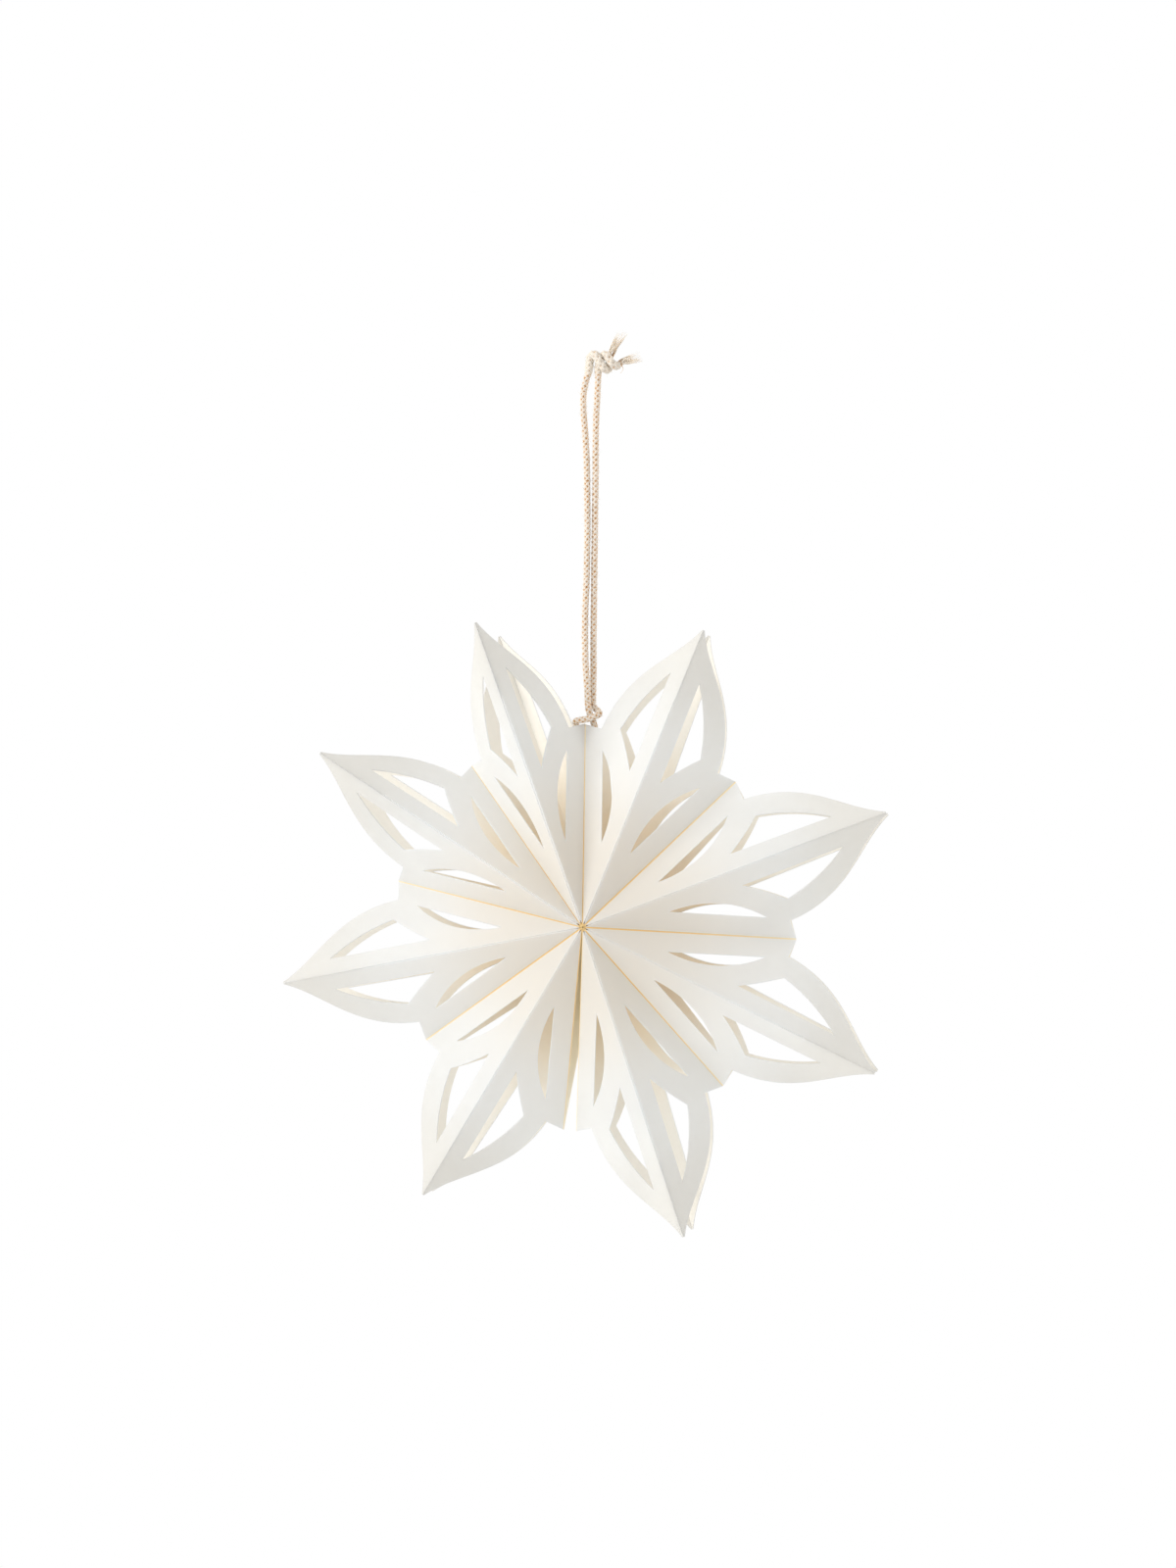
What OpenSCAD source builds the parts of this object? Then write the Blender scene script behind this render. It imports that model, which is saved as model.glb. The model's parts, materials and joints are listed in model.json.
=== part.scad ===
// Hanging paper star: eight equal folded petals glued side by side into a fan,
// drawn round into a ring, closed by a pair of dots and hung on a loop of cord.
// Millimetres, Z up. The origin is the hanging point at the top of the cord loop.
// The star's axis lies along Y and its front faces -Y.

/* [Paper] */
// Thickness of the card that the petals are folded from
paper = 0.4; // [0.25:0.05:0.6]
// Gap left along every fold between two panels
fold_gap = 0.12; // [0.08:0.02:0.2]
// Gap from a facet to the petal's middle at the tip of the ridge fold
ridge_gap = 0.6; // [0.5:0.05:0.8]
// How far the glued walls stop short of the notch
wall_short = 2.2; // [1.2:0.1:4]
// Blunting of the sharp corners at the notch and the tip
blunt = 0.15; // [0.1:0.05:0.3]

/* [Petal sheet] */
// Length of the valley fold, from the middle of the star to the notch
valley_len = 73.8; // [60:0.2:90]
// Length of the ridge fold, from the middle of the star to the petal tip
ridge_len = 109.5; // [95:0.5:125]
// Angle in the flat sheet between the valley fold and the ridge fold
facet_angle = 25.5; // [24:0.1:27]
// Half the depth of the star at its middle
half_depth = 24.5; // [22:0.5:26]
// Width of the short edge between the notch and the petal's side
tab_width = 6.6; // [4:0.2:9]
// How far the short edge leans back from the notch
tab_lean = 3.2; // [1.5:0.1:4]

/* [Cut-outs] */
// Band of card left between the valley fold and the lens
valley_band = 7; // [5:0.2:8]
// Distance along the valley fold where the lens begins
lens_start = 28; // [24:0.5:34]
// Length of the lens
lens_len = 34.5; // [26:0.5:36]
// Width of the lens at its middle
lens_width = 6.4; // [4:0.2:7]
// Band of card left between the ridge fold and the leaf
ridge_band = 6.1; // [4.5:0.1:7]
// Distance along the ridge fold where the leaf begins
leaf_start = 54.7; // [52:0.5:58]
// Length of the leaf
leaf_len = 37.2; // [30:0.2:38]
// Width of the leaf at its shoulder
leaf_width = 10.6; // [8:0.2:11]
// How far the leaf's long edge bows out
leaf_bow = 2.2; // [1:0.1:3]
// How far the leaf's short edge bows in
leaf_hollow = 0.6; // [0:0.1:1.2]
// How much nearer to the ridge fold the leaf's tip is than its root
leaf_taper = 0.3; // [0:0.1:0.8]

/* [Opening] */
// Angle of each petal as the star hangs, clockwise from the closing seam
petal_opening = [48, 47, 39.5, 35, 47, 48.5, 47, 44.5]; // [30:0.5:48.5]
// Direction of the glued seam that the cord holds, 90 is straight up
top_seam = 92.2; // [88:0.2:94]

/* [Cord and closing] */
// Thickness of the cord
cord_d = 2.4; // [1.8:0.1:2.6]
// Hole in the top seam for the cord
cord_hole_d = 3.4; // [3:0.1:3.8]
// Distance of that hole from the notch
cord_hole_in = 9; // [8:0.2:12]
// Drop from the hanging point to the hole
cord_drop = 131.1; // [100:0.1:180]
// Sideways distance from the hanging point to the hole
cord_shift = 2.96; // [2:0.02:4]
// Diameter of the two closing dots
dot_d = 10; // [6:0.5:12]
// Thickness of one closing dot
dot_t = 0.5; // [0.3:0.05:0.55]
// Distance of the dots from the middle of the star
dot_r = 24; // [23:0.5:34]

/* [Hidden] */
PETALS = [1, 2, 3, 4, 5, 6, 7, 8];
SIDES = ["left", "right"];
FACES = ["front", "back"];
$fn = 48;

wall_slope = asin(half_depth / valley_len);
notch_len = valley_len * cos(wall_slope);
card_colour = [0.95, 0.94, 0.90];
inner_colour = [0.93, 0.89, 0.80];
cord_colour = [0.82, 0.68, 0.50];
dot_colour = [0.90, 0.89, 0.86];

// Sum of the first n openings
function opened(n) = n < 1 ? 0 : petal_opening[n - 1] + opened(n - 1);
// Direction of the seam on the left or right of petal i, seen from the front
function seam(i, side) = top_seam + opened(4) - opened(side == "left" ? i - 1 : i);
// How far a petal's corner sits from the axis, measured along its wall
function corner(i) = paper / tan(petal_opening[i - 1] / 2);
// Nearest and farthest of the petals' corners
corner_near = min([for (k = PETALS) corner(k)]);
corner_far = max([for (k = PETALS) corner(k)]);
// The star hangs from the hole in its top seam
hole_r = corner_near + notch_len - cord_hole_in;
star_x = -cord_shift - hole_r * cos(top_seam);
star_z = -cord_drop - hole_r * sin(top_seam);
// Rise of the ridge fold above the star's plane when the petal stands open
function ridge_rise(i) =
    let (a = cos(wall_slope) * cos(petal_opening[i - 1] / 2), b = sin(wall_slope))
    acos(cos(facet_angle) / sqrt(a * a + b * b)) - atan2(b, a);
// Angle by which a facet leans out of its wall's plane
function lean(i) =
    acos((sin(ridge_rise(i)) + sin(wall_slope) * cos(facet_angle)) / (cos(wall_slope) * sin(facet_angle)));

// Distances along and off one fold of a facet, turned into distances along and off its other fold
function other_fold(q) =
    [q[0] * cos(facet_angle) + q[1] * sin(facet_angle), q[0] * sin(facet_angle) - q[1] * cos(facet_angle)];
// Points on a curve with two handles, without its first point
function curve(a, b, c, d, n = 12) = [for (k = [1:n]) let (t = k / n, u = 1 - t)
    u * u * u * a + 3 * u * u * t * b + 3 * u * t * t * c + t * t * t * d];
// Points on a shallow bow from a to b that stands h off its chord on the left
function bow(a, b, h, n = 12) =
    let (v = b - a, m = (a + b) / 2 + [-v[1], v[0]] / norm(v) * h * 4 / 3)
    curve(a, a * 0.35 + m * 0.65, b * 0.35 + m * 0.65, b, n);

// Outline of one facet, along and off its valley fold
notch_end = [valley_len - blunt, 0];
tab_end = [valley_len - tab_lean, tab_width];
shoulder = other_fold(tab_end);
side_run = ridge_len - shoulder[0];
petal_side = curve(
    shoulder,
    [shoulder[0] + side_run * 0.535, shoulder[1] * 0.95],
    [shoulder[0] + side_run * 0.694, shoulder[1] * 0.28],
    [ridge_len, ridge_gap + blunt],
    16
);
facet_points = concat(
    [[fold_gap / sin(facet_angle), 0], notch_end, tab_end],
    [for (q = petal_side) other_fold(q)],
    [other_fold([ridge_len - blunt, ridge_gap])]
);
lens_a = [lens_start, valley_band];
lens_b = [lens_start + lens_len, valley_band];
lens_points = concat([lens_a], bow(lens_a, lens_b, lens_width));
leaf_a = [leaf_start, ridge_band];
leaf_b = [leaf_start + leaf_len * 0.36, ridge_band + leaf_width];
leaf_c = [leaf_start + leaf_len, ridge_band - leaf_taper];
leaf_edge = concat([leaf_a], bow(leaf_a, leaf_b, -leaf_hollow, 6), bow(leaf_b, leaf_c, leaf_bow, 10));
leaf_points = [for (q = leaf_edge) other_fold(q)];
module star_place() {
    translate([star_x, 0, star_z]) rotate([90, 0, 0]) children();
}

module facet(i, face, side) {
    // a facet hangs on the wall at its own side, so the left one turns clockwise from it
    star_place()
        rotate([0, 0, seam(i, side)])
            mirror([0, side == "left" ? 1 : 0, 0])
                mirror([0, 0, face == "back" ? 1 : 0])
                    translate([corner(i), paper, half_depth])
                        rotate([0, wall_slope, 0])
                            rotate([90 - lean(i), 0, 0])
                                linear_extrude(height = paper)
                                    difference() {
                                        polygon(facet_points);
                                        polygon(lens_points);
                                        polygon(leaf_points);
                                    }
}

module wall(i, side) {
    at_cord = (i == 4 && side == "right") || (i == 5 && side == "left");
    near = corner_far + fold_gap;
    far = corner_near + notch_len - wall_short;
    edge = fold_gap / cos(wall_slope);
    top_near = half_depth - (near - corner_near) * tan(wall_slope) - edge;
    top_far = half_depth - (far - corner_near) * tan(wall_slope) - edge;
    star_place()
        rotate([0, 0, seam(i, side)])
            mirror([0, side == "left" ? 1 : 0, 0])
                difference() {
                    translate([0, paper, 0])
                        rotate([90, 0, 0])
                            linear_extrude(height = paper)
                                polygon([
                                    [near, -top_near], [far, -top_far], [far, top_far], [near, top_near]
                                ]);
                    if (at_cord)
                        translate([hole_r, 0, 0])
                            rotate([-90, 0, 0])
                                translate([0, 0, -1])
                                    cylinder(d = cord_hole_d, h = paper + 2);
                }
}

module closing_dot(side) {
    // the left dot sits on the first petal's end wall, the right dot on the last petal's
    star_place()
        rotate([0, 0, side == "left" ? seam(1, "left") : seam(8, "right")])
            mirror([0, side == "left" ? 1 : 0, 0])
                translate([dot_r, -dot_t, 0])
                    rotate([-90, 0, 0])
                        cylinder(d = dot_d, h = dot_t);
}

// Cord routes, each a list of middle points drawn for a thick cord of 2.4 and a loop of 113.4.
// The strands rise from the hitch to the knot above the hanging point, and end frayed.
left_shape = [
    [-2.3, -0.9, -113.4], [-2.5, -1, -109], [-2.9, -1.2, -103], [-3.2, -1.1, -96], [-3.3, -0.9, -89],
    [-3.2, -0.8, -82], [-2.9, -0.7, -75], [-2.7, -0.6, -68], [-2.6, -0.5, -61], [-2.5, -0.5, -54],
    [-2.5, -0.5, -47], [-2.6, -0.4, -40], [-2.7, -0.3, -33], [-2.9, -0.2, -27], [-3.3, 0, -20],
    [-3.9, 0, -13], [-4.01, 0, -11.06], [-4.06, 0, -8.99], [-3.97, 0, -6.8], [-3.74, 0, -4.59],
    [-3.35, 0, -2.43], [-2.83, 0.02, -0.38], [-2.26, 0.08, 1.51], [-1.97, 0.14, 3.56],
    [-1.74, 0.06, 5.54], [-1.26, -0.44, 7.38], [0.21, -1.61, 7.51], [1.56, -2.21, 5.79],
    [2.54, -2.21, 4.15], [3.57, -1.5, 2.73], [4.48, 0.07, 2.36], [4.83, 1.56, 3.43], [4.9, 2.17, 5.22],
    [5.21, 1.91, 6.97], [5.84, 1.29, 8.55], [6.65, 0.66, 10.05], [7.55, 0.2, 11.56],
    [8.51, -0.1, 13.09], [9.5, -0.3, 14.6]
];
right_shape = [
    [-0.8, 1.3, -113.4], [-0.7, 1.3, -109], [-0.6, 1.2, -103], [-0.6, 1.1, -96], [-0.5, 0.9, -89],
    [-0.4, 0.8, -82], [-0.3, 0.7, -75], [-0.2, 0.6, -68], [-0.1, 0.5, -61], [0, 0.5, -54],
    [0.1, 0.5, -47], [0.2, 0.4, -40], [0.3, 0.3, -33], [0.3, 0.2, -27], [0.4, 0, -20], [0.6, 0, -13],
    [0.7, 0, -11.35], [0.8, -0.01, -9.61], [0.89, 0.01, -7.77], [0.98, 0.04, -5.87], [1.05, 0.1, -3.98],
    [1.12, 0.19, -2.11], [1.16, 0.31, -0.31], [1.2, 0.41, 1.39], [1.29, 0.48, 3.02], [1.52, 0.54, 4.64],
    [1.99, 0.39, 6.2], [2.84, -0.21, 7.42], [4.02, -1.26, 7.43], [4.98, -1.93, 6.31],
    [5.86, -2.05, 4.94], [6.83, -1.51, 3.77], [7.77, -0.24, 3.6], [8.48, 0.73, 4.29],
    [9.51, 0.76, 5.17], [10.9, 0.4, 5.61], [12.36, 0.06, 5.92], [13.83, -0.21, 6.24], [15.3, -0.4, 6.6]
];
// The hitch is measured from the hole: down one side of the seam, through, up the other and round itself
hitch_shape = [
    [0.66, -0.9, 17.1], [0.72, -0.75, 15.6], [1.05, -0.4, 13.5], [1.85, 0, 11.3], [2.65, 0, 9.5],
    [2.95, 0, 8.2], [2.8, 0, 6.8], [2.4, 0, 4.8], [2.05, 0, 2.6], [1.5, 0, 0.9], [0, 0, 0.3],
    [-1.64, 0, 0.9], [-2.14, 0, 2.7], [-2.5, 0, 5.2], [-3, 0, 7.2], [-3.5, -0.1, 8.8], [-3.6, -1.1, 10],
    [-2.5, -2.3, 10.4], [-0.6, -2.85, 10.6], [1.4, -2.9, 11], [3.3, -2.3, 11.7], [4.5, -0.9, 12.5],
    [4.4, 0.8, 13.4], [3.3, 1.5, 14.5], [2.3, 1.4, 15.7], [2.16, 1.3, 17.1]
];
thick = cord_d / 2.4;
loop_share = (cord_drop - 17.7 * thick) / 113.4;
left_route = [for (q = left_shape) [q[0] * thick, q[1] * thick, q[2] * (q[2] < 0 ? loop_share : thick)]];
right_route = [for (q = right_shape) [q[0] * thick, q[1] * thick, q[2] * (q[2] < 0 ? loop_share : thick)]];
hitch_route = [for (q = hitch_shape) q * thick + [-cord_shift, 0, -cord_drop]];

function unit(v) = v / norm(v);
function along(r, k) = unit(r[min(k + 1, len(r) - 1)] - r[max(k - 1, 0)]);
// A side direction square to the route, carried on from ring to ring
function carry(r, k) =
    k == 0 ? unit(cross(along(r, 0), [0.2, 1, 0.1]))
    : let (p = carry(r, k - 1), d = along(r, k)) unit(p - d * (p * d));

module cord(r) {
    n = 8;
    m = len(r);
    points = [for (k = [0:m - 1]) let (d = along(r, k), u = carry(r, k), v = cross(d, u))
        for (j = [0:n - 1]) r[k] + cord_d / 2 * (u * cos(360 * j / n) + v * sin(360 * j / n))];
    sides = [for (k = [0:m - 2], j = [0:n - 1])
        [k * n + j, (k + 1) * n + j, (k + 1) * n + (j + 1) % n, k * n + (j + 1) % n]];
    ends = [[for (j = [0:n - 1]) j], [for (j = [n - 1:-1:0]) (m - 1) * n + j]];
    polyhedron(points, concat(sides, ends), convexity = 6);
}

module cord_left() {
    cord(left_route);
}

module cord_right() {
    cord(right_route);
}

module cord_hitch() {
    cord(hitch_route);
}

for (i = PETALS, f = FACES, s = SIDES)
    color(card_colour) facet(i, f, s);
for (i = PETALS, s = SIDES)
    color(inner_colour) wall(i, s);
for (s = SIDES)
    color(dot_colour) closing_dot(s);
color(cord_colour) cord_left();
color(cord_colour) cord_right();
color(cord_colour) cord_hitch();
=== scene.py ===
"""Hanging paper star.

Eight folded petals of white card are glued into a fan, drawn into a ring and hung on a cord.
"""
import json
import math
import random

import bpy
import numpy as np
from mathutils import Matrix, Vector, noise


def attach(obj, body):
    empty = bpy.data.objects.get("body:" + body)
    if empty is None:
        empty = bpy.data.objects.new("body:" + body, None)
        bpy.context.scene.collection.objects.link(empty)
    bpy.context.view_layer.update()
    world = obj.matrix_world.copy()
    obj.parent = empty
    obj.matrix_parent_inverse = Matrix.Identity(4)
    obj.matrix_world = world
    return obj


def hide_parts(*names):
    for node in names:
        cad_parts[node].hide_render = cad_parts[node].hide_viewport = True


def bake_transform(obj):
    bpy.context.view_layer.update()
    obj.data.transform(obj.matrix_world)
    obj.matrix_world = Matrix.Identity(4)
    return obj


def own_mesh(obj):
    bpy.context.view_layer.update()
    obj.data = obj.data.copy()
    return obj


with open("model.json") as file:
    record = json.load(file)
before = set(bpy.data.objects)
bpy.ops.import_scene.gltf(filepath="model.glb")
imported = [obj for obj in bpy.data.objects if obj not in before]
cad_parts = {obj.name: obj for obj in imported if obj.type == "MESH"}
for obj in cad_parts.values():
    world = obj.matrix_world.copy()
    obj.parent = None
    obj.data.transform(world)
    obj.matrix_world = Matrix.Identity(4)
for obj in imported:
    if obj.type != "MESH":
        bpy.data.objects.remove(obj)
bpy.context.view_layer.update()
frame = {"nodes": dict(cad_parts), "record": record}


# The card. Every petal is folded from a sheet of heavy off-white card, the same for all eight. Each
# facet is cut right through twice: a lens beside the valley fold and a leaf beside the ridge fold.
# It is cut flat from a gridded blank, so that it can bend a little when it stands in the star.
card_thick = 0.0004
facet_angle = math.radians(25.5)
valley_len, ridge_len = 0.0738, 0.1095


def other_fold(q):
    """Turns distances along and off one fold of a facet into those along and off its other fold."""
    c, s = math.cos(facet_angle), math.sin(facet_angle)
    return Vector((q[0] * c + q[1] * s, q[0] * s - q[1] * c))


def bezier(a, b, c, d, count):
    """Points on a curve with two handles, without its first point."""
    a, b, c, d = (Vector(v) for v in (a, b, c, d))
    steps = [k / count for k in range(1, count + 1)]
    return [(1 - t) ** 3 * a + 3 * (1 - t) ** 2 * t * b + 3 * (1 - t) * t * t * c + t ** 3 * d
            for t in steps]


def bow(a, b, height, count):
    """Points on a shallow bow from a to b that stands off its chord on the left."""
    a, b = Vector(a), Vector(b)
    chord, end_share, top_share = b - a, 0.35, 0.65
    top = (a + b) / 2 + Vector((-chord.y, chord.x)).normalized() * height * 4 / 3
    return bezier(a, a * end_share + top * top_share, b * end_share + top * top_share, b, count)


root_clear, ridge_clear, tip_width = 0.00002, 0.0002, 0.00025
tab_back, tab_width = 0.0032, 0.0066
side_swell, side_draw, side_steps = (0.535, 0.95), (0.694, 0.28), 48
tab_end = Vector((valley_len - tab_back, tab_width))
shoulder = other_fold(tab_end)
side_run = ridge_len - shoulder.x
petal_side = bezier(shoulder, (shoulder.x + side_run * side_swell[0], shoulder.y * side_swell[1]),
                    (shoulder.x + side_run * side_draw[0], shoulder.y * side_draw[1]),
                    (ridge_len, tip_width), side_steps)
facet_outline = [Vector((root_clear, 0)), Vector((valley_len, 0)), tab_end]
facet_outline += [other_fold(q) for q in petal_side] + [other_fold((ridge_len - ridge_clear, 0))]

lens_start, lens_end, lens_rise, lens_steps = (0.028, 0.007), (0.0625, 0.007), 0.0064, 44
lens_outline = [Vector(lens_start)] + bow(lens_start, lens_end, lens_rise, lens_steps)

leaf_root, leaf_hollow, root_steps = Vector((0.0547, 0.0061)), -0.0006, 14
leaf_shoulder, leaf_tip = Vector((0.068092, 0.0167)), Vector((0.0919, 0.0058))
leaf_rise, tip_steps = 0.0022, 34
leaf_edge = [leaf_root] + bow(leaf_root, leaf_shoulder, leaf_hollow, root_steps)
leaf_edge += bow(leaf_shoulder, leaf_tip, leaf_rise, tip_steps)
leaf_outline = [other_fold(q) for q in leaf_edge]


def select_only(piece):
    bpy.ops.object.select_all(action="DESELECT")
    piece.select_set(True)
    bpy.context.view_layer.objects.active = piece


def die(name, outline):
    """A cutting die: a flat closed outline, filled and drawn out through the card."""
    die_depth = 0.002
    curve = bpy.data.curves.new(name, "CURVE")
    curve.dimensions, curve.fill_mode, curve.extrude = "2D", "BOTH", die_depth
    spline = curve.splines.new("POLY")
    spline.points.add(len(outline) - 1)
    for point, q in zip(spline.points, outline):
        point.co = (q.x, q.y, 0, 1)
    spline.use_cyclic_u = True
    cutter = bpy.data.objects.new(name, curve)
    bpy.context.scene.collection.objects.link(cutter)
    select_only(cutter)
    bpy.ops.object.convert(target="MESH")
    bpy.ops.object.mode_set(mode="EDIT")
    bpy.ops.mesh.select_all(action="SELECT")
    bpy.ops.mesh.remove_doubles(threshold=1e-7)
    bpy.ops.mesh.normals_make_consistent(inside=False)
    bpy.ops.object.mode_set(mode="OBJECT")
    return cutter


def cut(card, cutter, operation):
    select_only(card)
    step = card.modifiers.new("cut", "BOOLEAN")
    step.operation, step.solver, step.object = operation, "EXACT", cutter
    bpy.ops.object.modifier_apply(modifier="cut")
    bpy.data.objects.remove(cutter)


blank_middle, blank_size, blank_grid = (0.0551, 0.0233, 0), (0.1173, 0.0563, 1), (50, 24)
smallest_cut, quad_limit = 2e-6, 0.6


def cut_facet(name):
    """One flat facet, its inner face at height 0 and its outer face a card's thickness above."""
    bpy.ops.object.select_all(action="DESELECT")
    bpy.ops.mesh.primitive_grid_add(x_subdivisions=blank_grid[0], y_subdivisions=blank_grid[1],
                                    size=1, location=blank_middle)
    card = bpy.context.object
    card.name = name
    card.scale = blank_size
    bpy.ops.object.transform_apply(location=True, rotation=True, scale=True)
    thick = card.modifiers.new("thick", "SOLIDIFY")
    thick.thickness, thick.offset = card_thick, 1
    bpy.ops.object.modifier_apply(modifier="thick")
    cut(card, die("outline", facet_outline), "INTERSECT")
    cut(card, die("lens", lens_outline), "DIFFERENCE")
    cut(card, die("leaf", leaf_outline), "DIFFERENCE")
    bpy.ops.object.mode_set(mode="EDIT")
    bpy.ops.mesh.select_all(action="SELECT")
    bpy.ops.mesh.remove_doubles(threshold=smallest_cut)
    bpy.ops.mesh.quads_convert_to_tris(quad_method="BEAUTY", ngon_method="BEAUTY")
    bpy.ops.mesh.tris_convert_to_quads(face_threshold=quad_limit, shape_threshold=quad_limit)
    bpy.ops.object.mode_set(mode="OBJECT")
    return card


facet_blank = cut_facet("facet_blank")


# The card's finishes. Outside it is bright matte white with a faint fibre and a soft bloom of tone,
# painted darker and warmer towards the petals' tips as painted shade. Inside it is the bare cream of
# the stock, painted a deeper tan towards the star's middle as painted shade deep in the star, and
# the card's edges along the seams are painted a deep gold as painted shade in the seams' grooves.
# Light comes through it, least through a fold.
class Tone:
    """A shader value. Sums and products of it add Math nodes."""

    def __init__(self, tree, socket):
        self.tree, self.socket = tree, socket

    def node(self, kind, settings, values, out=0):
        """A node of that kind with its settings, then its sockets' values or links."""
        made = self.tree.nodes.new(kind)
        for key, value in settings.items():
            if key == "stops":
                ramp = made.color_ramp.elements
                while len(ramp) < len(value):
                    ramp.new(0.5)
                for stop, (place, colour) in zip(ramp, value):
                    stop.position, stop.color = place, (*colour, 1)
            else:
                setattr(made, key, value)
        for key, value in values.items():
            if isinstance(value, Tone):
                self.tree.links.new(value.socket, made.inputs[key])
            else:
                made.inputs[key].default_value = value
        return Tone(self.tree, made.outputs[out])

    def maths(self, operation, *values):
        return self.node("ShaderNodeMath", {"operation": operation}, dict(enumerate(values)))

    def blend(self, low, high):
        """A colour, low where this value is 0 and high where it is 1."""
        return self.node("ShaderNodeMix", {"data_type": "RGBA"}, {0: self, 6: low, 7: high}, 2)

    def step(self, low, high, start=0, end=1):
        """The start value below low and the end value above high, smooth in between."""
        return self.node("ShaderNodeMapRange", {"interpolation_type": "SMOOTHSTEP"},
                         {0: self, 1: low, 2: high, 3: start, 4: end})

    def __add__(self, other):
        return self.maths("ADD", self, other)

    def __sub__(self, other):
        return self.maths("SUBTRACT", self, other)

    def __rsub__(self, other):
        return self.maths("SUBTRACT", other, self)

    def __mul__(self, other):
        return self.maths("MULTIPLY", self, other)

    __radd__, __rmul__ = __add__, __mul__


def new_finish(name):
    """A new material, its shader's node and a first tone that holds its object coordinates."""
    finish = bpy.data.materials.new(name)
    finish.use_nodes = True
    tree = finish.node_tree
    place = tree.nodes.new("ShaderNodeTexCoord")
    return finish, tree.nodes["Principled BSDF"], Tone(tree, place.outputs["Object"])


def connect(shader, **values):
    for key, value in values.items():
        shader.id_data.links.new(value.socket, shader.inputs[key.replace("_", " ")])


def let_through(shader, place, glow, share):
    """Mixes a shader with light that comes through from behind, by one share or a varying one."""
    behind = place.node("ShaderNodeBsdfTranslucent", {}, {"Color": glow})
    both = place.node("ShaderNodeMixShader", {},
                      {0: share, 1: Tone(place.tree, shader.outputs[0]), 2: behind})
    place.tree.links.new(both.socket, place.tree.nodes["Material Output"].inputs["Surface"])


# the colours spread from the star's middle, which lies under the cord's hole in the top seam
petal_opening = [48, 47, 39.5, 35, 47, 48.5, 47, 44.5]
half_depth, top_seam = 0.0245, 92.2
hole_x, hole_z, hole_in = -0.00296, -0.1311, 0.009
wall_slope = math.asin(half_depth / valley_len)
corners = [card_thick / math.tan(math.radians(o / 2)) for o in petal_opening]
hole_reach = min(corners) + valley_len * math.cos(wall_slope) - hole_in
star_middle = Vector((hole_x - hole_reach * math.cos(math.radians(top_seam)), 0,
                      hole_z - hole_reach * math.sin(math.radians(top_seam))))


def card_finish(name, spread, near, far, glow, through):
    """Card that goes from one colour near the star's middle to another far out, over that spread.

    The share of light that comes through is a number, or the four values of a step along the reach.
    """
    finish, shader, place = new_finish(name)
    fibre = place.node("ShaderNodeTexNoise", {},
                       {"Vector": place, "Scale": 1500, "Detail": 3, "Roughness": 0.6})
    flock = place.node("ShaderNodeTexNoise", {},
                       {"Vector": place, "Scale": 260, "Detail": 4, "Roughness": 0.65})
    bloom = place.node("ShaderNodeTexNoise", {}, {"Vector": place, "Scale": 22, "Detail": 2})
    outward = place.node("ShaderNodeVectorMath", {"operation": "SUBTRACT"},
                         {0: place, 1: star_middle})
    outward = place.node("ShaderNodeVectorMath", {"operation": "MULTIPLY"},
                         {0: outward, 1: (1, 0, 1)})
    reach = place.node("ShaderNodeVectorMath", {"operation": "LENGTH"}, {0: outward}, 1)
    tone = reach.step(*spread) * 0.8 + bloom * 0.25 + flock * 0.2 - 0.12
    relief = place.node("ShaderNodeBump", {}, {"Strength": 0.25, "Distance": 0.00025,
                                               "Height": fibre * 0.5 + flock * 0.5})
    connect(shader, Base_Color=tone.step(0, 1).blend(near, far), Normal=relief)
    shader.inputs["Roughness"].default_value = 0.9
    shader.inputs["Specular IOR Level"].default_value = 0.25
    share = through if isinstance(through, float) else reach.step(*through)
    let_through(shader, place, glow, share)
    return finish


# outside, the colour far out paints the tips darker and warmer, as painted shade
outer_card = card_finish("outer_card", spread=(0.04, 0.108), near=(0.955, 0.97, 0.985, 1),
                         far=(0.74, 0.712, 0.66, 1), glow=(0.88, 0.92, 0.97, 1),
                         through=(0.06, 0.108, 0.5, 0.32))
# inside, the colours near the star's middle paint the card a deeper tan, as painted shade deep in
# the star; the end walls are paler, with the same painted shade
inner_spread = (0.01, 0.085)
inner_card = card_finish("inner_card", inner_spread, near=(0.95, 0.71, 0.36, 1),
                         far=(0.99, 0.965, 0.92, 1), glow=(0.98, 0.945, 0.86, 1),
                         through=(0.035, 0.07, 0.38, 0.52))
wall_card = card_finish("wall_card", inner_spread, near=(0.95, 0.77, 0.48, 1),
                        far=(0.97, 0.905, 0.76, 1), glow=(0.97, 0.89, 0.73, 1), through=0.45)
end_card = card_finish("end_card", inner_spread, near=(0.97, 0.90, 0.73, 1),
                       far=(0.98, 0.965, 0.92, 1), glow=(0.98, 0.96, 0.90, 1), through=0.6)
# the seam finish paints the card's edges along the seams a deep gold, as painted shade in the seams'
# grooves
seam_shade_card = card_finish("seam_shade_card", inner_spread, near=(0.95, 0.68, 0.30, 1),
                        far=(0.97, 0.86, 0.62, 1), glow=(0.97, 0.85, 0.60, 1), through=0.2)


# The petals. Each sheet is folded along two ridges and four valleys, so it stands as a pocket with
# four facets round it. The petals are drawn open by uneven amounts, and each facet leans as its
# fold makes it.
wall_bodies = {node: body for body, nodes in frame["record"]["behaviour"]["bodies"].items()
               for node in nodes}
swell_mean, swell_change, swell_full = 0.00035, 0.0003, 0.08
dent_depth, dent_line, dent_narrow, dent_start, dent_run = 0.0007, 0.007, 0.0071, 0.012, 0.02
roll_gap, roll_drop, ridge_gap = 0.00003, 0.00012, 0.00003
tiny, ridge_limit, soft_edge, follower_spare = 1e-6, 2e-6, 35, 0.02


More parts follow.
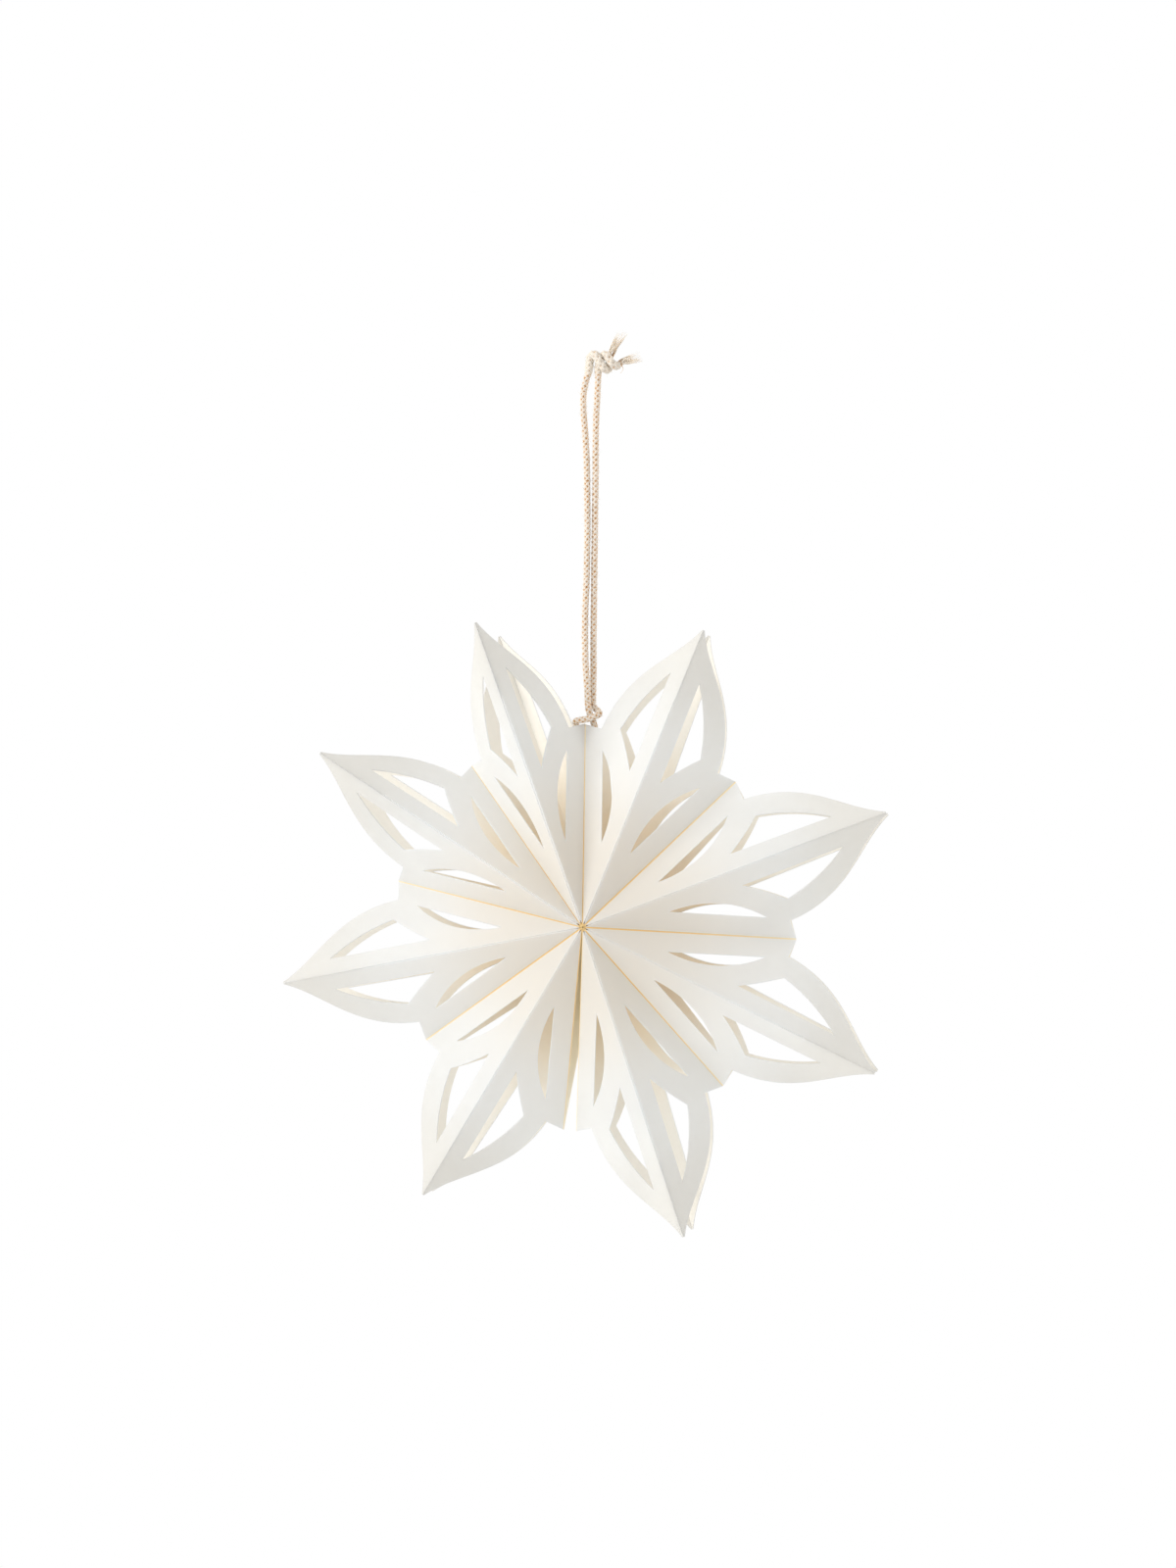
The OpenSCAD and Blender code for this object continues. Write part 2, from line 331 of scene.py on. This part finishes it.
def seam_place(petal, side):
    """Places what is drawn on a seam: x out along it, y off its wall into the petal, z forward."""
    turned = sum(petal_opening[:4]) - sum(petal_opening[: petal - 1 if side == "left" else petal])
    mirror = Matrix.Diagonal((1, -1 if side == "left" else 1, 1, 1))
    return (Matrix.Translation(star_middle) @ Matrix.Rotation(math.radians(90), 4, "X")
            @ Matrix.Rotation(math.radians(top_seam + turned), 4, "Z") @ mirror)


def facet_lean(petal):
    """The angle by which a facet of this petal leans out of its wall."""
    across = math.cos(wall_slope) * math.cos(math.radians(petal_opening[petal - 1] / 2))
    deep = math.sin(wall_slope)
    rise = math.acos(math.cos(facet_angle) / math.hypot(across, deep)) - math.atan2(deep, across)
    return math.acos((math.sin(rise) + deep * math.cos(facet_angle))
                     / (math.cos(wall_slope) * math.sin(facet_angle)))


def fold_facet(petal, face, side):
    """Bends one flat facet, stands it on its wall and runs it on to the petal's ridge."""
    name = f"petal_{petal}_{face}_{side}"
    piece = facet_blank.copy()
    piece.data = facet_blank.data.copy()
    piece.name = piece.data.name = name + "_card"
    bpy.context.scene.collection.objects.link(piece)
    mesh = piece.data
    for finish in (outer_card, inner_card, seam_shade_card):
        mesh.materials.append(finish)
    # the card's edge along the valley takes the seam finish, painted gold as painted shade in the
    # seam
    for flat in mesh.polygons:
        at_valley = flat.normal.y < -0.9 and flat.center.y < tiny
        flat.material_index = 2 if at_valley else 1 if flat.normal.z < -0.7 else 0
    # the card swells a little between its folds, a touch differently in each facet
    spot = (petal * 3.1, 1.7 if face == "front" else 5.3, 0.4 if side == "left" else 8.2)
    swell = swell_mean + swell_change * noise.noise(spot)
    # one facet beside the cord is dented along its lens, from handling
    dent = dent_depth if name == "petal_4_front_right" else 0
    tilt = math.pi / 2 - facet_lean(petal)
    lip = Matrix.Rotation(-tilt, 2) @ Vector((roll_gap - card_thick,
                                              card_thick * math.cos(tilt) - roll_drop))
    ridge = []
    for vertex in mesh.vertices:
        along, off, height = vertex.co
        reach = math.hypot(along, off)
        share = min(1, max(0, math.atan2(off, max(along, tiny)) / facet_angle))
        if abs(other_fold((along, off)).y) < ridge_limit:
            ridge.append(vertex)
        wide = max(along * math.tan(facet_angle), dent_narrow)
        held = min(1, max(0, (along - dent_start) / dent_run))
        hollow = max(0, min(off / dent_line, (wide - off) / (wide - dent_line)))
        vertex.co.z += swell * math.sin(math.pi * share) * min(1, reach / swell_full)
        vertex.co.z -= dent * held * hollow
        # at the valley the card rolls over into its wall and leaves a fine line open at the seam
        if off < tiny and height < card_thick / 2:
            vertex.co.y, vertex.co.z = lip
    wall = seam_place(petal, side)
    flip = Matrix.Diagonal((1, 1, -1 if face == "back" else 1, 1))
    pose = (wall @ flip @ Matrix.Translation((corners[petal - 1], card_thick, half_depth))
            @ Matrix.Rotation(wall_slope, 4, "Y") @ Matrix.Rotation(tilt, 4, "X"))
    mesh.transform(pose)
    if pose.determinant() < 0:
        mesh.flip_normals()
    # along the ridge the two facets run on until they all but meet in the petal's middle
    half = math.radians(petal_opening[petal - 1] / 2)
    corner = wall @ Vector((corners[petal - 1], card_thick, 0))
    middle = wall.to_3x3() @ Vector((-math.sin(half), math.cos(half), 0))
    onward = pose.to_3x3() @ Vector((-math.sin(facet_angle), math.cos(facet_angle), 0))
    for vertex in ridge:
        short = (vertex.co - corner).dot(middle) + ridge_gap
        vertex.co -= onward * (short / onward.dot(middle))
    mesh.update()
    select_only(piece)
    bpy.ops.object.shade_smooth_by_angle(angle=math.radians(soft_edge))
    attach(piece, wall_bodies[f"petal_{petal}_wall_{side}"])
    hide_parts(name)
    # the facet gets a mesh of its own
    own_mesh(piece)


for petal in range(1, 9):
    for face in ("front", "back"):
        for side in ("left", "right"):
            fold_facet(petal, face, side)
bpy.data.objects.remove(facet_blank)


# The walls. They are the parts of each sheet that run into the star, glued back to back in pairs
# along every seam but the closing one, where two paler single walls face each other. At the inner
# fold the two walls of a sheet meet and fill its wedge up to the axis.
inner_zone, axis_gap, corner_lap, slope_gap = 0.0016, 0.00015, 0.00005, 0.00013
for petal in range(1, 9):
    for side in ("left", "right"):
        name = f"petal_{petal}_wall_{side}"
        piece = frame["nodes"][name].copy()
        piece.data = frame["nodes"][name].data.copy()
        piece.name = piece.data.name = name + "_card"
        bpy.context.scene.collection.objects.link(piece)
        select_only(piece)
        bpy.ops.object.mode_set(mode="EDIT")
        bpy.ops.mesh.select_all(action="SELECT")
        bpy.ops.mesh.remove_doubles(threshold=1e-7)
        bpy.ops.object.mode_set(mode="OBJECT")
        wall = seam_place(petal, side)
        for vertex in piece.data.vertices:
            q = wall.inverted() @ vertex.co
            if q.x < inner_zone:
                q.x = axis_gap if q.y < card_thick / 2 else corners[petal - 1] + corner_lap
                fall = (q.x - min(corners)) * math.tan(wall_slope)
                q.z = math.copysign(half_depth - fall - slope_gap, q.z)
                vertex.co = wall @ q
        piece.data.materials.clear()
        piece.data.materials.append(end_card if wall_bodies[name].startswith("end") else wall_card)
        piece.data.materials.append(seam_shade_card)
        piece.data.update()
        # the wall's edges that face front and back take the seam finish, painted gold as painted
        # shade in the seam
        for flat in piece.data.polygons:
            flat.material_index = 1 if abs(flat.normal.y) > 0.8 else 0
        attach(piece, wall_bodies[name])
        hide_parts(name)


# The closing dots. Two small discs of white hook-and-loop tape hold the ring shut. They are stuck
# on the two end walls, where these face each other, and keep the solid's own shape.
finish, shader, place = new_finish("loop_tape")
loops = place.node("ShaderNodeTexVoronoi", {}, {"Vector": place, "Scale": 2200})
relief = place.node("ShaderNodeBump", {}, {"Strength": 0.8, "Distance": 0.0003, "Height": loops})
weave = loops.step(0.1, 0.7).blend((0.62, 0.60, 0.56, 1), (0.88, 0.87, 0.84, 1))
connect(shader, Base_Color=weave, Normal=relief)
shader.inputs["Roughness"].default_value = 0.95
for side in ("left", "right"):
    dot = frame["nodes"][f"closing_dot_{side}"]
    dot.data.materials.clear()
    dot.data.materials.append(finish)


# The cord. One length of natural cotton cord, braided from six yarns: hitched through the hole in
# the top seam, doubled into a loop, and tied at the top in a knot with two frayed ends. It is made
# in three lengths, because the two strands can twist and the hitch turns with the star.
left_route = [
    (-2.3, -0.9, -114.2), (-2.5, -1, -109), (-2.9, -1.2, -103), (-3.2, -1.1, -96),
    (-3.3, -0.9, -89), (-3.2, -0.8, -82), (-2.9, -0.7, -75), (-2.7, -0.6, -68), (-2.6, -0.5, -61),
    (-2.5, -0.5, -54), (-2.5, -0.5, -47), (-2.6, -0.4, -40), (-2.7, -0.3, -33), (-2.9, -0.2, -27),
    (-3.3, 0, -20), (-3.9, 0, -13), (-4.01, 0, -11.06), (-4.06, 0, -8.99), (-3.97, 0, -6.8),
    (-3.74, 0, -4.59), (-3.35, 0, -2.43), (-2.83, 0.02, -0.38), (-2.26, 0.08, 1.51),
    (-1.97, 0.14, 3.56), (-1.74, 0.06, 5.54), (-1.26, -0.44, 7.38), (0.21, -1.61, 7.51),
    (1.56, -2.21, 5.79), (2.54, -2.21, 4.15), (3.57, -1.5, 2.73), (4.48, 0.07, 2.36),
    (4.83, 1.56, 3.43), (4.9, 2.17, 5.22), (5.21, 1.91, 6.97), (5.84, 1.29, 8.55),
    (6.65, 0.66, 10.05), (7.55, 0.2, 11.56), (8.51, -0.1, 13.09), (9.5, -0.3, 14.6),
]
right_route = [
    (-0.8, 1.3, -114.2), (-0.7, 1.3, -109), (-0.6, 1.2, -103), (-0.6, 1.1, -96), (-0.5, 0.9, -89),
    (-0.4, 0.8, -82), (-0.3, 0.7, -75), (-0.2, 0.6, -68), (-0.1, 0.5, -61), (0, 0.5, -54),
    (0.1, 0.5, -47), (0.2, 0.4, -40), (0.3, 0.3, -33), (0.3, 0.2, -27), (0.4, 0, -20),
    (0.6, 0, -13), (0.7, 0, -11.35), (0.8, -0.01, -9.61), (0.89, 0.01, -7.77), (0.98, 0.04, -5.87),
    (1.05, 0.1, -3.98), (1.12, 0.19, -2.11), (1.16, 0.31, -0.31), (1.2, 0.41, 1.39),
    (1.29, 0.48, 3.02), (1.52, 0.54, 4.64), (1.99, 0.39, 6.2), (2.84, -0.21, 7.42),
    (4.02, -1.26, 7.43), (4.98, -1.93, 6.31), (5.86, -2.05, 4.94), (6.83, -1.51, 3.77),
    (7.77, -0.24, 3.6), (8.48, 0.73, 4.29), (9.51, 0.76, 5.17), (10.9, 0.4, 5.61),
    (12.36, 0.06, 5.92), (13.83, -0.21, 6.24), (15.3, -0.4, 6.6),
]
hitch_route = [
    (-2.3, -0.9, -114), (-2.24, -0.75, -115.5), (-1.91, -0.4, -117.6), (-1.11, 0, -119.8),
    (-0.31, 0, -121.6), (-0.01, 0, -122.9), (-0.16, 0, -124.3), (-0.56, 0, -126.3),
    (-0.91, 0, -128.5), (-1.46, 0, -130.2), (-2.96, 0, -130.8), (-4.6, 0, -130.2),
    (-5.1, 0, -128.4), (-5.46, 0, -125.9), (-5.96, 0, -123.9), (-6.46, -0.1, -122.3),
    (-6.56, -1.1, -121.1), (-5.46, -2.3, -120.7), (-3.56, -2.85, -120.5), (-1.56, -2.9, -120.1),
    (0.34, -2.3, -119.4), (1.54, -0.9, -118.6), (1.44, 0.8, -117.7), (0.34, 1.5, -116.6),
    (-0.66, 1.4, -115.4), (-0.8, 1.3, -114),
]
stray_fibre = [
    (9.2, 0.2, 4), (9.9, -0.5, 3.2), (10.2, -0.7, 2.4), (9.8, -0.8, 1.6), (9.2, -0.8, 0.9),
]
yarn_count, yarn_radius, yarn_reach, yarn_wave, yarn_turn = 6, 0.00054, 0.00059, 0.00012, 0.0056
core_radius, hollow_reach, crown_rise = 0.0006, 0.0009, 0.00025
knot_start, knot_rise, knot_swell = 0.0005, 0.002, 0.28
hairs_per_metre, hair_radii = 3200, np.linspace(0.00004, 0.000015, 6)
wisp_count, thick_wisps, overrun = 14, 5, 6
braid_step, fibre_step, mm, full_turn = 0.00024, 0.0004, 0.001, 2 * math.pi


def smooth_line(route, spacing):
    """A smooth line through points in millimetres, as points in metres about spacing apart."""
    given = np.array(route) / 1000
    ends = np.vstack([2 * given[0] - given[1], given, 2 * given[-1] - given[-2]])
    t = np.linspace(0, 1, 24, endpoint=False)[:, None]
    spans = []
    for a, b, c, d in zip(ends, ends[1:], ends[2:], ends[3:]):
        spans.append(b + 0.5 * ((c - a) * t + (2 * a - 5 * b + 4 * c - d) * t ** 2
                                + (3 * b - a - 3 * c + d) * t ** 3))
    line = np.vstack([*spans, given[-1:]])
    far = np.concatenate([[0], np.cumsum(np.linalg.norm(np.diff(line, axis=0), axis=1))])
    at = np.linspace(0, far[-1], int(far[-1] / spacing) + 1)
    return np.stack([np.interp(at, far, line[:, k]) for k in range(3)], axis=1), at


def side_ways(line):
    """Two directions square to a line at each of its points, carried along it without a twist."""
    ahead = np.gradient(line, axis=0)
    ahead /= np.linalg.norm(ahead, axis=1)[:, None]
    one = np.cross(ahead[0], (0.2, 1, 0.1))
    ones = []
    for way in ahead:
        one = one - way * (one @ way)
        one = one / np.linalg.norm(one)
        ones.append(one)
    return np.array(ones), np.cross(ahead, ones)


def round_about(turn, one, two):
    return np.cos(turn)[:, None] * one + np.sin(turn)[:, None] * two


class Skein:
    """Round yarns and fibres gathered into one mesh.

    Each point has a crown value, from 0 in the braid's hollows to 1 on its crowns; the cord's finish
    paints the low values dark brown, as painted shade in the hollows.
    """

    def __init__(self):
        self.points, self.faces, self.crowns, self.count = [], [], [], 0

    def add(self, line, radii, sides, crown=None, middle=None):
        """A tube along a line. Without a crown value, its height over the cord's middle gives it."""
        one, two = side_ways(line)
        turns = [np.full(len(line), full_turn * s / sides) for s in range(sides)]
        rings = np.stack([line + radii[:, None] * round_about(turn, one, two) for turn in turns],
                         axis=1)
        corner = self.count + np.arange(len(line) * sides).reshape(-1, sides)
        nearer, further = corner[:-1], corner[1:]
        quads = np.stack([nearer, np.roll(nearer, -1, 1), np.roll(further, -1, 1), further], axis=2)
        self.faces += quads.reshape(-1, 4).tolist()
        self.faces += [corner[0][::-1].tolist(), corner[-1].tolist()]
        if crown is None:
            lifted = np.linalg.norm(rings - middle[:, None], axis=2) - hollow_reach
            self.crowns.append((lifted / crown_rise).clip(0, 1).ravel())
        else:
            self.crowns.append(np.repeat(crown * np.ones(len(line)), sides))
        self.points.append(rings.reshape(-1, 3))
        self.count += rings.shape[0] * sides

    def piece(self, name):
        mesh = bpy.data.meshes.new(name)
        mesh.from_pydata(np.vstack(self.points).tolist(), [], self.faces)
        mesh.update()
        crown = mesh.attributes.new("crown", "FLOAT", "POINT")
        crown.data.foreach_set("value", np.concatenate(self.crowns).astype(np.float32))
        piece = bpy.data.objects.new(name, mesh)
        bpy.context.scene.collection.objects.link(piece)
        select_only(piece)
        bpy.ops.object.shade_smooth()
        mesh.materials.append(cotton)
        return piece


def braid(skein, chance, body, run, out, across, plump):
    """Yarns plaited round a core, every second one the other way round."""
    # the core, deepest in the braid, is painted in the hollows' dark brown as painted shade
    skein.add(body[::3], core_radius * plump[::3], 8, crown=0)
    for yarn in range(yarn_count):
        way = 1 if yarn % 2 else -1
        drift = 0.16 * np.sin(run * chance.uniform(500, 900) + chance.uniform(0, 6.3))
        first = full_turn * (yarn // 2) / (yarn_count // 2)
        turn = way * full_turn * run / yarn_turn + first + drift
        over = way * np.cos(full_turn * run * yarn_count / 2 / yarn_turn)
        ring = plump * (yarn_reach + yarn_wave * over)
        skein.add(body + ring[:, None] * round_about(turn, out, across), yarn_radius * plump, 6,
                  middle=body)


def loose_hairs(skein, chance, body, run, out, across, plump):
    """Short hairs that lift out of the braid all along it."""
    steps = np.linspace(0, 1, len(hair_radii))[:, None]
    for _ in range(int(run[-1] * hairs_per_metre)):
        at = chance.randrange(4, len(body) - 4)
        turn = chance.uniform(0, full_turn)
        away = math.cos(turn) * out[at] + math.sin(turn) * across[at]
        ahead = np.cross(out[at], across[at])
        lift, reach = chance.uniform(0.2, 1.0), chance.uniform(-2.4, 2.4)
        sway = chance.uniform(-0.8, 0.8)
        bent = (away * lift * steps ** 1.4 + ahead * reach * steps
                + np.cross(ahead, away) * sway * steps ** 2)
        skein.add(body[at] + away * mm * plump[at] + bent * mm, hair_radii, 3, crown=1)


def frayed_end(skein, chance, line, one, two, start):
    """Wavy locks, one for each yarn, that come apart into wisps and single fibres."""
    onward = line[-1] + (line[-1] - line[-2]) * np.arange(1, overrun + 1)[:, None]
    tail = np.vstack([line[start:], onward])
    tail_out, tail_across = (np.vstack([v[start:], np.repeat(v[-1:], overrun, 0)])
                             for v in (one, two))
    for lock in range(yarn_count):
        heading = full_turn * lock / yarn_count + chance.uniform(-0.4, 0.4)
        share = 0.96 if lock == 0 else chance.uniform(0.62, 0.92)
        spread, sway = chance.uniform(0.3, 1.4), chance.uniform(0.2, 0.45)
        phase, pace = chance.uniform(0, 6.3), chance.uniform(9, 16)
        for wisp in range(wisp_count):
            thick = wisp < thick_wisps
            longest = (share * chance.uniform(0.8, 1) if thick
                       else min(1, share * chance.uniform(0.95, 1.3)))
            count = int(len(tail) * longest)
            t = np.linspace(0, longest, count)
            aside, loose = chance.uniform(0, 6.3), (0.5 if thick else 0.9) * chance.random()
            turn = heading + chance.uniform(-0.6, 0.6) * t ** 2
            out, across = tail_out[:count], tail_across[:count]
            fan = mm * (0.6 + spread * t ** 1.2)
            wave = mm * (sway * np.minimum(1, 4 * t) * np.sin(phase + pace * t))
            apart = mm * (0.28 + loose * t ** 2)
            path = (tail[:count] + fan[:, None] * round_about(turn, out, across)
                    + wave[:, None] * round_about(turn + 1.6, out, across)
                    + apart[:, None] * round_about(aside + 0 * t, out, across))
            thin = chance.uniform(0.00016, 0.00024) if thick else chance.uniform(0.00003, 0.00006)
            fade = np.linspace(1, 0.35, len(path[::2])) * thin
            # each wisp is painted darker by the knot and paler outwards, as painted shade at its
            # root
            pale = (0.2 + 1.6 * t[::2]).clip(0, chance.uniform(0.7, 1.2))
            skein.add(path[::2], fade, 4, crown=pale)


def lay_cord(name, route, fray, seed, stray=()):
    """A braided cord along a route, whose last stretch of the length fray has come apart."""
    chance = random.Random(seed)
    line, along = smooth_line(route, braid_step)
    one, two = side_ways(line)
    whole = along <= along[-1] - fray
    body, run, out, across = line[whole], along[whole], one[whole], two[whole]
    # in the knot the slack braid is pressed wider
    plump = 1 + knot_swell * ((body[:, 2] - knot_start) / knot_rise).clip(0, 1)
    skein = Skein()
    braid(skein, chance, body, run, out, across, plump)
    loose_hairs(skein, chance, body, run, out, across, plump)
    if fray:
        frayed_end(skein, chance, line, one, two, len(body) - overrun)
    for fibre in stray:
        path = smooth_line(fibre, fibre_step)[0]
        skein.add(path, np.linspace(0.00013, 0.00007, len(path)), 4, crown=0.3)
    return skein.piece(name), [tuple(p) for p in line]


cotton, shader, place = new_finish("cotton_cord")
crown = place.node("ShaderNodeAttribute", {"attribute_name": "crown"}, {}, 2)
fluff = place.node("ShaderNodeTexNoise", {}, {"Vector": place, "Scale": 2600, "Detail": 2})
patch = place.node("ShaderNodeTexNoise", {}, {"Vector": place, "Scale": 160, "Detail": 2})
tone = crown * 0.85 + (fluff - 0.5) * 0.4 + (patch - 0.5) * 0.4 + 0.04
# the ramp paints the hollows, the core and the wisps' roots dark brown as painted shade, and the
# crowns the cotton's cream
shades = [(0.0, (0.64, 0.32, 0.11)), (0.35, (0.87, 0.60, 0.35)), (0.7, (0.975, 0.925, 0.835))]
relief = place.node("ShaderNodeBump", {}, {"Strength": 0.4, "Distance": 0.0001, "Height": fluff})
connect(shader, Base_Color=tone.node("ShaderNodeValToRGB", {"stops": shades}, {0: tone}),
        Normal=relief)
shader.inputs["Roughness"].default_value = 0.95
shader.inputs["Specular IOR Level"].default_value = 0.2
let_through(shader, place, (0.98, 0.80, 0.54, 1), 0.25)

left_cord, left_line = lay_cord("cord_left_braid", left_route, 0.0092, 3)
right_cord, right_line = lay_cord("cord_right_braid", right_route, 0.0076, 5, [stray_fibre])
hitch_cord, hitch_line = lay_cord("cord_hitch_braid", hitch_route, 0, 8)
for cord, line, node in ((left_cord, left_line, "cord_left"),
                         (right_cord, right_line, "cord_right")):
    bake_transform(cord)
    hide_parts(node)
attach(hitch_cord, "top_seam")
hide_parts("cord_hitch")


# The studio. White all round over a floor of pale paper. A broad soft lamp stands in front on the
# left, and a second one behind on the right. The camera stands a little to the right of the star
# and about level with its middle.
bpy.ops.object.select_all(action="DESELECT")
bpy.ops.mesh.primitive_plane_add(size=1.4, location=(0, 0, -1.1))
floor = bpy.context.object
floor.name = "floor"
finish, shader, place = new_finish("floor_paper")
grain = place.node("ShaderNodeTexNoise", {}, {"Vector": place, "Scale": 60})
connect(shader, Base_Color=grain.blend((0.88, 0.88, 0.87, 1), (0.92, 0.92, 0.91, 1)))
shader.inputs["Roughness"].default_value = 0.9
floor.data.materials.append(finish)

world = bpy.data.worlds.new("studio")
bpy.context.scene.world = world
world.use_nodes = True
sky = world.node_tree
first = Tone(sky, sky.nodes.new("ShaderNodeLightPath").outputs["Is Camera Ray"])
rays = first.socket.node.outputs
seen = first.maths("MAXIMUM", first.maths("MAXIMUM", first, Tone(sky, rays["Is Glossy Ray"])),
                   Tone(sky, rays["Is Transmission Ray"]))
paper = seen.blend((0.85, 0.85, 0.85, 1), (1, 1, 1, 1))
sky.links.new(paper.socket, sky.nodes["Background"].inputs["Color"])

lamp_aim, lamp_size = Vector((0, 0, -0.19)), 0.8
for name, energy, spot in (("key", 20, (-1.5, -1.04, 0.45)), ("back", 14, (1.5, 1.04, 0.45))):
    light = bpy.data.lights.new(name, "AREA")
    light.energy, light.size = energy, lamp_size
    lamp = bpy.data.objects.new(name, light)
    bpy.context.scene.collection.objects.link(lamp)
    lamp.location = spot
    lamp.rotation_euler = (lamp_aim - lamp.location).to_track_quat("-Z", "Y").to_euler()

camera = bpy.data.objects.new("camera", bpy.data.cameras.new("camera"))
bpy.context.scene.collection.objects.link(camera)
camera.data.lens, camera.data.sensor_width = 67.5, 36
camera.matrix_world = Matrix(((0.98943, 0.00731, 0.14486, 0.1458),
                              (0.14504, -0.04989, -0.98817, -1.0107),
                              (0, 0.99873, -0.05042, -0.1943),
                              (0, 0, 0, 1)))
bpy.context.scene.camera = camera
bpy.context.scene.view_settings.view_transform = "Standard"
